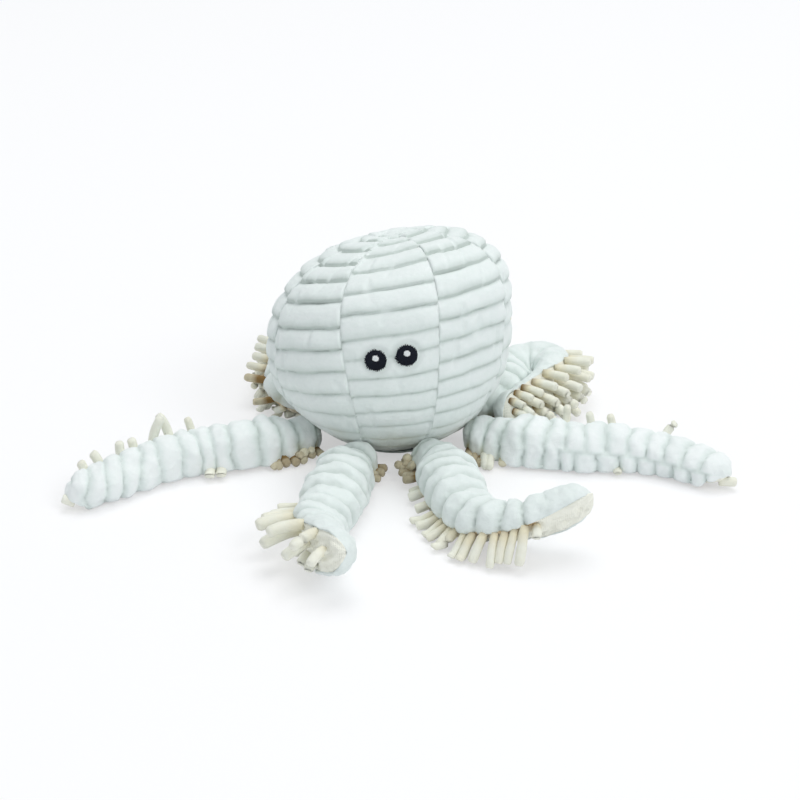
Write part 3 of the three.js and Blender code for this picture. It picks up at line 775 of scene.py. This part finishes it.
def sleeve_relief(pose, seed, point, distance, angle, edge, lip):
    """How far the sleeve's pile stands off the arm's even shape, and how much shade is painted
    there.
    """
    cap = smooth(arm_length - distance, pose["cap"] * 0.55, pose["cap"] * 1.25)
    root = 0.55 + 0.45 * smooth(distance, -4, 16)
    place = distance / arm_rib_pitch + pose["phase"]
    place += 0.35 * lump((distance, seed * 7, 0), 30, seed)
    place += (0.2 * lump(point, 19, seed) + 0.12 * lump(point, 8, seed + 1)
              + 0.06 * lump(point, 3.5, seed + 8))
    place += pose["slant"] * smooth(distance, 50, 110) * cos(angle) * 0.8
    seam = lobe = 1
    if "seam" in pose:
        line = radians(pose["seam"] - 16 * smooth(distance, 60, 125))
        lower = smooth(distance, 40, 52) * (angle < line)
        place += 0.5 * lower
        lobe += 0.35 * lower
        seam -= 0.8 * exp(-((angle - line) * 13 / 1.2) ** 2) * smooth(distance, 38, 52)
    number = place // 1
    rib = rib_round(place % 1, 1, 2.7, 0.65)
    bead = 1 + 0.2 * cos(3 * angle + 1.7 * number) + 0.6 * lump(point, 12, seed + 2)
    depth = arm_rib_depth * cap * root * bead * seam * lobe
    loose = 0.8 * sin(2.4 * number + seed) * lump((number * 3.1, angle * 1.3, 0), 1.7, seed + 4)
    fine = 0.7 * lump(point, 4.5, 7) + 0.34 * lump(point, 2.2, 8)
    soft = 2 * lump(point, 20, seed + 3) + 1.3 * lump(point, 9, seed + 6)
    hem = smooth(edge, -0.6, 2.4)
    held = mix(mix(0.7, 1, hem), mix(0.1, 1, smooth(edge, 0.5, 6)), lip)
    relief = held * (depth * (rib - 0.75) + fine + soft + loose * rib * cap) - 0.3 * (1 - hem)
    # Painted shade: in the grooves, weaker on the smooth tip and at the hems, stronger near the
    # root.
    shade = (1 - rib * seam) * mix(0.25, 1, cap) * mix(0.6, 1, hem)
    # Each arm's painted light shift is taken off its painted shade.
    return relief, shade * mix(1.15, 0.6, smooth(distance, 8, 60)) - pose["pale"]


for seed, (name, pose) in enumerate(arm_poses.items()):
    mesh, shaded, grubby = cloth(58, 165, "hollow", "grubby")
    for vertex in mesh.verts:
        across, along = vertex.co.x + 0.5, vertex.co.y + 0.5
        distance, closing = arm_station(along)
        middle, up, side, ahead, half_height, half_width, roll = arm_section(pose, distance)
        lip = lip_at(pose, 0.5 - across, distance)
        x, y = arch_point(across, lip)
        (ax, ay), (bx, by) = (arch_point(min(1, max(0, across + step)), lip)
                              for step in (0.01, -0.01))
        out = (side * (ay - by) * half_height - up * (ax - bx) * half_width).normalized()
        if abs(across - 0.5) < 0.015:
            out = up
        if closing < 1:
            end = copysign(sqrt(1 - closing ** 2), distance)
            out = (out * closing + ahead * end).normalized()
        point = middle + (side * half_width * x + up * half_height * y) * closing
        relief, vertex[shaded] = sleeve_relief(
            pose, 30 + 5 * seed, point, distance, atan2(y, x),
            min(across, 1 - across) * sleeve_cut, lip)
        if distance < 0:
            relief *= min(1, closing / 0.3)
        moved = point + out * relief
        moved.z = max(moved.z, sleeve_rest + 1.2 * smooth(out.z, -0.35, 0.3))
        vertex.co = moved
        # Painted warm bounce light near the root and on the lower sides of the sleeve.
        vertex[grubby] = (1.1 * smooth(20 + 8 * lump(point, 11, 53) - distance, 0, 26)
                          * smooth(4 - y * 13, 0, 12))
    bmesh.ops.remove_doubles(mesh, verts=mesh.verts, dist=weld)
    middle, up, *_ = arm_section(pose, arm_length / 2)
    face_towards(mesh, middle + up * arm_height / 2, up)
    sleeve = new_piece(f"sleeve_{name}", mesh, plush)
    thicken(sleeve, sleeve_thickness)
    start = arm_section(pose, -root_half)[0] * mm
    end = arm_section(pose, blend_reach)[0] * mm
    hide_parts(f"arm_sleeve_{name}")
    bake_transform(sleeve)


# ---- Arm fillings ----------------------------------------------------------------------
# The same polyester fibre fills each arm from end to end, rounded over by the sleeve and
# flat where it lies on the fringed strip.

filling_depth, filling_gap, filling_rest = 4.4, 1.5, 0.8
for seed, (name, pose) in enumerate(arm_poses.items()):
    mesh = bmesh.new()
    bmesh.ops.create_uvsphere(mesh, u_segments=28, v_segments=90, radius=1)
    for vertex in mesh.verts:
        along = acos(max(-1, min(1, vertex.co.z))) / pi
        angle = atan2(vertex.co.y, vertex.co.x)
        distance, closing = arm_station(mix(0.03, 0.975, along))
        closing = closing if 0 < along < 1 else 0
        middle, up, side, ahead, half_height, half_width, roll = arm_section(pose, distance)
        wall = filling_depth - 0.5 * lump(vertex.co * 40, 9, seed)
        high = max(sleeve_lift - half_height + filling_gap, (half_height - wall) * sin(angle))
        point = middle + (side * (half_width - wall) * cos(angle) + up * high) * closing
        vertex.co = (point.x, point.y, max(point.z, filling_rest))
    bmesh.ops.recalc_face_normals(mesh, faces=mesh.faces)
    core = new_piece(f"filling_{name}", mesh, stuffing)
    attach(core, pose["body"])
    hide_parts(f"arm_filling_{name}")


# ---- Fringed strips --------------------------------------------------------------------
# A strip of woven backing closes each arm underneath, sewn along both edges of the sleeve.
# Between the roots of the noodles, and under arms that lie flat, the strip is painted darker and
# browner: painted shade and warm bounce light from the noodles, in uneven patches. Past the
# noodles of the front arms the strip is bare, and its cream cloth bulges in small lumps.

mat_width, backing_thickness = 26, 1.2
rolled_over = 0.55

backing, tree, shader = node_material("woven_backing")
bands = {"Vector": add_node(tree, "TexCoord", out="Object"), "Scale": 330,
         "Distortion": 1}
weave, cross = (add_node(tree, "TexWave", bands, out="Fac", bands_direction=way)
                for way in "XY")
# Painted shade on the strip, broken up by noise into brown patches.
painted_strip_shade = calculated(tree, "MULTIPLY", grain(tree, 160, 3, 0.6), attribute(tree, "rooted"))
set_inputs(shader, {
    "Base Color": ramp(tree, painted_strip_shade, (0.1, (244, 244, 232)), (0.55, (200, 170, 118))),
    "Normal": bump(tree, 0.5, 0.0005, calculated(tree, "MULTIPLY", weave, cross)),
    "Roughness": 0.95})

# Rows of noodles along an open edge: which edge (1 right, -1 left), from and to along the arm,
# spacing, length, how far the first and last rise or hang, and the lean towards the tip.
edge_rows = {
    "front_right": [(1, -4, 14, 3.2, 10, (0.4, 0), 0), (1, -3, 7, 2.6, 8, (1, 0.6), -0.4),
                    (1, -2, 6, 2.4, 7.5, (2, 1.4), -0.3), (1, 27, 33, 5.5, 9, (-0.3, -0.2), 0.1),
                    (1, 45, 46, 6, 9, (-0.3, -0.3), 0), (1, 55, 74, 4.6, 14, (-0.5, -0.7), 0),
                    (1, 77, 107, 4.2, 18, (-1, -2.6), 0), (-1, -6, 12, 5.5, 8, (0.2, -0.2), 0)],
    "front_left": [(-1, -3, 8, 3.6, 7, (0.3, 0), 0),
                   (1, -2, 10, 4.4, 8, (0.2, -0.2), 0)],
    "side_left": [(-1, -4, 26, 3.9, 8, (0.2, -0.7), 0), (-1, -1, 9, 4.6, 8, (0.9, 0.5), 0),
                  (1, -2, 40, 6, 8, (0.2, -0.2), 0)],
    "side_right": [(1, -4, 8, 4, 12, (0.1, -0.4), 0), (1, 11, 22, 6, 6.5, (-0.6, -0.6), 0.1),
                   (-1, -2, 40, 6.5, 8, (0.2, -0.2), 0)],
    "back_left": [(-1, 8, 56, 8.5, 13, (0.1, 0.1), 0.3), (-1, 60, 130, 7.5, 12, (-0.2, -0.2), 0.1),
                  (1, -6, 30, 5, 7, (0.1, -0.3), 0.1), (1, 36, 130, 8, 9, (-0.3, -0.3), 0)],
    "back_right": [(1, -4, 56, 6, 8, (0.1, -0.3), 0.1), (-1, -4, 50, 7, 6.5, (0, -0.3), 0.2)],
    "rear_right": [(1, -6, 32, 6.2, 7, (0.1, -0.3), 0.2), (1, 38, 130, 6.2, 12, (0, -0.3), 0.1),
                   (-1, -3, 44, 6.8, 4, (-0.6, -0.6), 0.6),
                   (-1, 50, 108, 6.8, 5, (-0.6, -0.8), 0.5)],
    "rear_left": [(1, -3, 44, 6.8, 3.6, (-0.7, -0.7), 0.6),
                  (1, 50, 108, 6.8, 4.5, (-0.7, -0.9), 0.5),
                  (-1, -6, 32, 6.2, 6, (-0.1, -0.4), 0.3), (-1, 38, 130, 6.2, 11, (0, -0.3), 0.1)],
}


def strip_place(pose, distance, across, closing=1):
    """A place on the strip: across runs from -1 to 1 between its two sewn edges."""
    middle, up, side, ahead, half_height, half_width, roll = arm_section(pose, distance)
    lips = [lip_at(pose, way, distance) for way in (-1, 1)]
    edges = [arch_point(end, lip) for end, lip in zip((1, 0), lips)]
    share = (across + 1) / 2
    x, y = (mix(a, b, share) for a, b in zip(*edges))
    reach = half_width - 0.9 + 1.5 * mix(*lips, share)
    return middle + (side * x * reach + up * (y * half_height + 0.5)) * closing


for name, pose in arm_poses.items():
    mesh, rooted = cloth(20, 110, "rooted")
    for vertex in mesh.verts:
        across, along = 2 * vertex.co.x, vertex.co.y + 0.5
        distance, closing = arm_station(mix(0.05, 0.992, along))
        _, up, *_, roll = arm_section(pose, distance)
        swell = 1.8 * cos(across * pi / 2) + 1.3 * lump((across * 12, distance, 0), 5, 60)
        if name in ("front_left", "front_right"):
            bare = smooth(distance, pose["bare"] + 8, pose["bare"] + 24)
            swell += 2.6 * bare * (1 - across ** 4) * lump((across * 13, distance, 5), 3.5, 61)
        point = strip_place(pose, distance, across, closing) - up * swell * closing
        vertex.co = (point.x, point.y, max(point.z, backing_thickness + 0.3))
        rows = [smooth(across * way, 0.2, 0.95) for way, start, stop, *_ in edge_rows[name]
                if start - 3 < distance < stop + 3]
        # Painted shade: darker next to the rows of noodles, and on the underside of an arm that
        # lies flat on the table.
        under = 0.66 if abs(roll) < rolled_over else 0.3 if name == "back_right" else 0.12
        vertex[rooted] = max(rows + [under]) * mix(0.1, 1, smooth(arm_length - distance, 4, 16))
    middle, up, *_ = arm_section(pose, arm_length / 2)
    face_towards(mesh, middle, -up)
    strip = new_piece(f"backing_{name}", mesh, backing)
    thicken(strip, backing_thickness)
    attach(strip, pose["body"])
    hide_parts(f"arm_fringe_{name}")


# ---- Chenille noodles ------------------------------------------------------------------
# Thick chenille noodles are tufted through the strip in close rows. Under the arm they lie
# pressed flat, at its open edges they stick out, and where an arm has rolled over they fan
# out freely. A few are pinched up past the side arms, one pair as a loop.

chenille, tree, shader = node_material("cream_chenille")
pile, rings = grain(tree, 1300, 3, 0.65), grain(tree, 330, 2)
# The noodles' colour runs from cream to brown with the painted shade at their roots, plus random
# tone per noodle and ring noise.
own = calculated(tree, "MULTIPLY_ADD", attribute(tree, "own_shade"), 0.2, attribute(tree, "rooted"))
set_inputs(shader, {
    "Base Color": ramp(tree, calculated(tree, "MULTIPLY_ADD", rings, 0.16, own),
                       (0, (242, 244, 234)), (0.5, (230, 223, 196)), (1, (136, 108, 64))),
    "Normal": bump(tree, 0.5, 0.0004, pile, bump(tree, 0.4, 0.0008, rings)),
    "Roughness": 0.95, "Specular IOR Level": 0.2, "Sheen Weight": 0.2})

noodle = stitch_template(9, 6)
noodle_radius, noodle_pitch, noodle_rest = 2.5, 6.8, 0.2
noodle_profile = [0.9, 1, 0.95, 1.04, 0.98, 1.03, 0.74]
deep_reach = 24


def add_noodle(mesh, layers, root, first, last, length, radius, shade, root_shade, deep=False):
    """One chenille noodle that leaves its root one way and turns to another along its length."""
    before = len(mesh.verts)
    mesh.from_mesh(noodle)
    mesh.verts.ensure_lookup_table()
    first, last = Vector(first).normalized(), Vector(last).normalized()
    rooted, own_shade = layers
    for vertex in mesh.verts[before:]:
        share = vertex.co.z + 0.5
        eased = 1 - (1 - share) ** 1.3
        way = (first * (1 - eased) + last * eased).normalized()
        centre = root + first * length * eased * (1 - eased / 2) + last * length * eased * eased / 2
        swelled = radius * along_table(noodle_profile, share)
        centre += Vector((lump(centre, 7, 70), lump(centre, 7, 71), 0)) * 0.5 * share
        centre.z = max(centre.z, swelled + 0.25)
        beside = way.orthogonal().normalized()
        below = way.cross(beside)
        point = centre + (beside * vertex.co.x + below * vertex.co.y) * swelled
        vertex.co = (point.x, point.y, max(point.z, noodle_rest))
        # Painted shade at the root of each noodle, fading towards its tip; deep under the head it
        # reaches along the whole noodle.
        vertex[rooted] = root_shade * (max(0.4, 1 - share * 1.1) if deep else max(0, 1 - share * 2.4))
        vertex[own_shade] = shade


# Single noodles: along the arm, across its strip, the ways that the root and the tip point
# (to the right, back and up), length and radius.
single_noodles = {
    "front_left": [
        (60, 1, (-1, 0, 0), (-1, -0.1, 0), 13, 2.1),
        (67, 1, (-1, 0, 0), (-0.9, -0.4, 0), 15, 2.2),
        (75, 1, (-1, 0, 0), (-1, -0.5, 0), 18, 2.5),
        (84, 0.9, (-1, 0, 0), (-1, -0.4, -0.2), 21, 3.4),
        (93, 0.5, (-1, -0.3, 0), (-1, -0.7, -0.4), 23, 3.2),
        (103, 0.9, (-1, 0, 0), (-1, -0.6, -0.3), 19, 3),
        (110, 0.3, (-1, -1, 0), (-1, -0.8, -0.5), 18, 2.9),
        (119, 0.8, (-1, -0.6, 0), (-0.7, -1, -0.5), 16, 2.8),
        (127, 0.1, (-1, -1, 0), (-0.5, -1, -0.6), 13, 2.6),
        (98, 0, (-1, -1, 0), (-1, -1, -0.8), 12, 3),
        (105, -0.4, (-1, -1, 0), (-0.6, -1, -1), 10, 2.8),
        (114, -0.5, (-0.5, -1, 0), (-0.4, -1, -1), 9, 2.6)],
    "front_right": [
        (110, 0.5, (0, -1, 0), (0, -1, -1), 9, 2.4)],
    "side_left": [
        (122, 1, (0, 0.6, 0.8), (-0.6, 0, 1), 11, 2.5),
        (112, 1, (0, 0.6, 0.8), (-0.9, 0, 1), 13, 2.6),
        (99, 1, (0, 0.6, 0.8), (-0.1, 0, 1), 13, 2.5),
        (90, 1, (0, 0.6, 0.8), (-0.3, 0, 1), 12, 2.5), (80, 1, (0, 0.3, 1), (0.6, 0, 1), 23, 2.6),
        (69, 1, (0, 0.3, 1), (-0.66, 0, 1), 23, 2.6),
        (58, 1, (0, 0.6, 1), (-0.45, 0, 1), 18, 2.2),
        (54, -0.95, (0, -1, 0), (0, -1, -1.4), 12, 2.9),
        (47, -0.95, (0, -1, 0), (0, -1, -1.4), 12, 2.8),
        (135, -0.4, (-1, 0, 0.5), (-1, 0, 0.4), 7, 2.6)],
    "side_right": [
        (47, -1, (0, 1, 0.6), (0.1, 0, 1), 22, 2.1), (63, -1, (0, 1, 0.6), (-0.3, 0, 1), 18, 2.2),
        (74, -1, (0, 1, 0.6), (-0.3, 0, 1), 17, 2.2),
        (97, -1, (0, 1, 0.6), (0.7, 0, 0.6), 20, 2.4),
        (75, 0.98, (0, -1, 0), (0, -1, -1), 8, 2.4), (135, 0.2, (1, 0, 0), (1, 0, -0.1), 9, 2.6),
        (5, 0.98, (0, -1, 0), (0, -1, -0.3), 16, 2.5),
        (9, 0.98, (0, -1, 0), (-0.15, -1, -0.3), 15, 2.4)],
    "back_right": [
        (64, -0.95, (1, 0, 0), (1, -0.1, 0), 14.3, 2.6),
        (72, -0.8, (1, 0, 0), (1, -0.2, 0), 15.1, 2.6),
        (80, -0.95, (1, 0, 0), (1, -0.3, 0), 15.1, 2.6),
        (89, -0.85, (1, 0, 0), (1, -0.45, 0), 15.1, 2.6),
        (98, -0.95, (1, -0.3, 0), (1, -0.7, 0), 15.1, 2.6),
        (108, -0.85, (1, -0.3, 0), (1, -0.7, 0), 15.1, 2.6),
        (68, -0.3, (1, 0, 0), (1, -0.4, 0), 16.8, 2.6),
        (76, -0.2, (1, 0, 0), (1, -0.5, -0.1), 16.8, 2.7),
        (84, -0.35, (1, 0, 0), (1, -0.6, -0.1), 16.8, 2.6),
        (93, -0.25, (1, -0.2, 0), (1, -0.8, -0.2), 16.8, 2.7),
        (102, -0.35, (1, -0.4, 0), (1, -1, -0.2), 16, 2.6),
        (112, -0.25, (1, -0.5, 0), (1, -1, -0.2), 16, 2.7),
        (122, -0.5, (1, -0.5, 0), (1, -1, -0.2), 14.3, 2.6),
        (72, 0.35, (1, -0.2, 0), (1, -0.8, -0.3), 16.8, 2.6),
        (81, 0.3, (1, -0.3, 0), (1, -1, -0.3), 16.8, 2.7),
        (90, 0.35, (1, -0.4, 0), (1, -1.2, -0.4), 16.8, 2.6),
        (99, 0.3, (1, -0.5, 0), (1, -1.2, -0.4), 16, 2.7),
        (109, 0.35, (1, -0.6, 0), (1, -1.4, -0.4), 15.1, 2.6),
        (119, 0.3, (1, -0.6, 0), (1, -1.2, -0.3), 14.3, 2.6),
        (128, -0.2, (1, -0.8, 0), (0.8, -1.4, -0.3), 11.8, 2.6),
        (94, 0.9, (0.5, -0.5, 0), (0.8, -1, -0.6), 13.4, 2.5),
        (104, 0.9, (0.5, -0.5, 0), (0.6, -1, -0.6), 12.6, 2.5),
        (114, 0.9, (0.5, -0.5, 0), (0.6, -1, -0.6), 11.8, 2.5),
        (117, -0.92, (1, -0.4, 0), (1, -0.9, -0.1), 13.4, 2.5),
        (124, -0.88, (1, -0.4, 0), (1, -0.9, -0.2), 11.8, 2.5),
        (131, -0.7, (1, -0.5, 0), (1, -1, -0.3), 10.1, 2.4),
        (133, -0.1, (1, -0.5, 0), (1, -1, -0.5), 9.2, 2.4),
        (125, 0.45, (0.6, -0.6, 0), (1, -1, -0.5), 10.9, 2.5)],
    "back_left": [
        (2, 0.9, (-1, -1, 0), (-1, -0.6, 0), 12, 2.3),
        (-3, 0.9, (0, -1, 0), (-0.5, -1, 0), 11, 2.2)],
}

for seed, (name, pose) in enumerate(arm_poses.items()):
    chance = random.Random(100 + seed)
    mesh = bmesh.new()
    layers = [mesh.verts.layers.float.new(layer) for layer in ("rooted", "own_shade")]
    for row, across in enumerate((-0.66, -0.22, 0.22, 0.66)):
        for n in range(20):
            distance = 4 + (n + 0.5 * (row % 2)) * noodle_pitch
            _, up, side, ahead, *_, roll = arm_section(pose, distance)
            if distance > min(arm_length - 10, pose["bare"]):
                continue
            turn = ahead * chance.choice((-1, 1)) + side * chance.uniform(-0.35, 0.35)
            if abs(roll) > rolled_over:
                first = -up + side * 0.25 * across + ahead * chance.uniform(-0.2, 0.3)
                last = -up * 0.9 - Vector((0, 0, 0.5)) + ahead * chance.uniform(-0.2, 0.4)
                length, root_shade = chance.uniform(12, 15), 0.6
            elif row in (1, 2) and n % 2:
                continue
            else:
                first, last = turn - up * 1.2, turn - up * 0.15
                length, root_shade = chance.uniform(8, 10.5), 0.8
            add_noodle(mesh, layers, strip_place(pose, distance, across), first, last, length,
                       noodle_radius * 0.85, chance.random(), root_shade)
    for way, start, stop, spacing, length, rise, lean in edge_rows[name]:
        for n in range(int((stop - start) / spacing) + 1):
            distance = start + (n + 0.16 * chance.uniform(-1, 1)) * spacing
            _, up, side, ahead, *_ = arm_section(pose, distance)
            level = Vector((side.x, side.y, 0)).normalized()
            out = level * way + ahead * (lean + 0.22 * chance.uniform(-1, 1))
            lifted = mix(*rise, min(1, max(0, (distance - start) / (stop - start))))
            first = out - up * 0.25 + Vector((0, 0, lifted * 0.55))
            last = out.normalized() + Vector((0, 0, lifted + 0.15 * chance.uniform(-1, 1)))
            # Noodles in the recess under the head get stronger painted shade.
            deep = distance < deep_reach
            grown = chance.uniform(0.75, 1.2) if deep else chance.uniform(0.86, 1.12)
            add_noodle(mesh, layers, strip_place(pose, distance, way * 0.93), first, last,
                       length * grown, noodle_radius * chance.uniform(0.78 if deep else 0.88, 1.05),
                       chance.random(), chance.uniform(0.85, 1.6) if deep else 0.5, deep)
    for distance, across, first, last, length, radius in single_noodles.get(name, []):
        # Painted shade at the roots of the single noodles: faint on the side arms, and elsewhere
        # stronger further out along the arm.
        painted_warm_shade = {"side_left": 0.1, "side_right": 0.1, "front_left": 0.3}.get(
            name, mix(0.4, 1, smooth(distance, 85, 125)))
        add_noodle(mesh, layers, strip_place(pose, distance, across), first, last, length, radius,
                   chance.random() * 0.6, painted_warm_shade)
    bmesh.ops.recalc_face_normals(mesh, faces=mesh.faces)
    noodles = new_piece(f"noodles_{name}", mesh, chenille)
    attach(noodles, pose["body"])
    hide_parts(f"arm_fringe_{name}")
